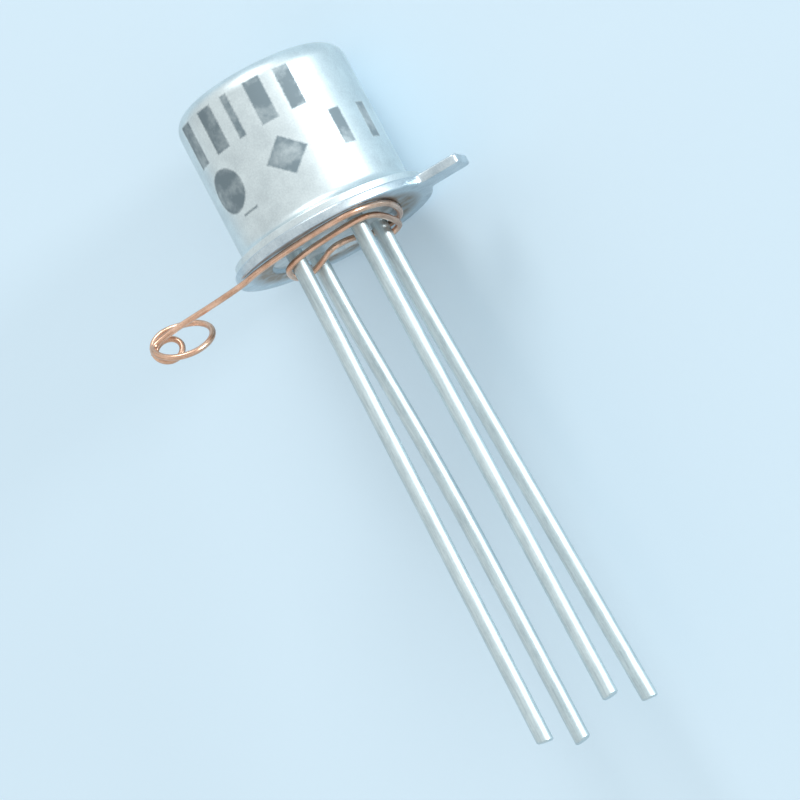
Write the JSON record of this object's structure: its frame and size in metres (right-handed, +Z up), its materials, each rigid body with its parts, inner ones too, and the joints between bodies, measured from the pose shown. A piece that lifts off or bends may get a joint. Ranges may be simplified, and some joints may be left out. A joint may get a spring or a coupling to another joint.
{
  "type": "p-channel mosfet",
  "caption": "Small-signal transistor in a round metal can with an index tab and long straight leads, shorted together by a fine copper wire wound below the header.",
  "frame": {"origin": "on the surface the part lies on, below the centre of its bounding box", "axes": "+Z up from that surface, +X from the can towards the tips of the leads, +Y to the side that the index tab is on"},
  "size_m": [0.0184, 0.0086, 0.0062],
  "materials": {
    "cap_nickel": "satin",
    "header_nickel": "satin",
    "lead_tin": "satin",
    "seal_glass": "gloss",
    "copper": "satin",
    "preform_gold": "satin",
    "silicon": "polished",
    "bond_aluminium": "polished"
  },
  "bodies": {
    "root": {"cap": "cap_nickel", "header_shell": "header_nickel", "header_glass": "seal_glass", "lead_drain": "lead_tin", "lead_gate": "lead_tin", "lead_source": "lead_tin", "lead_case": "lead_tin", "die_preform": "preform_gold", "mosfet_die": "silicon", "bond_wire_drain": "bond_aluminium", "bond_wire_gate": "bond_aluminium", "bond_wire_source": "bond_aluminium", "shorting_wire": "copper"}
  },
  "joints": []
}
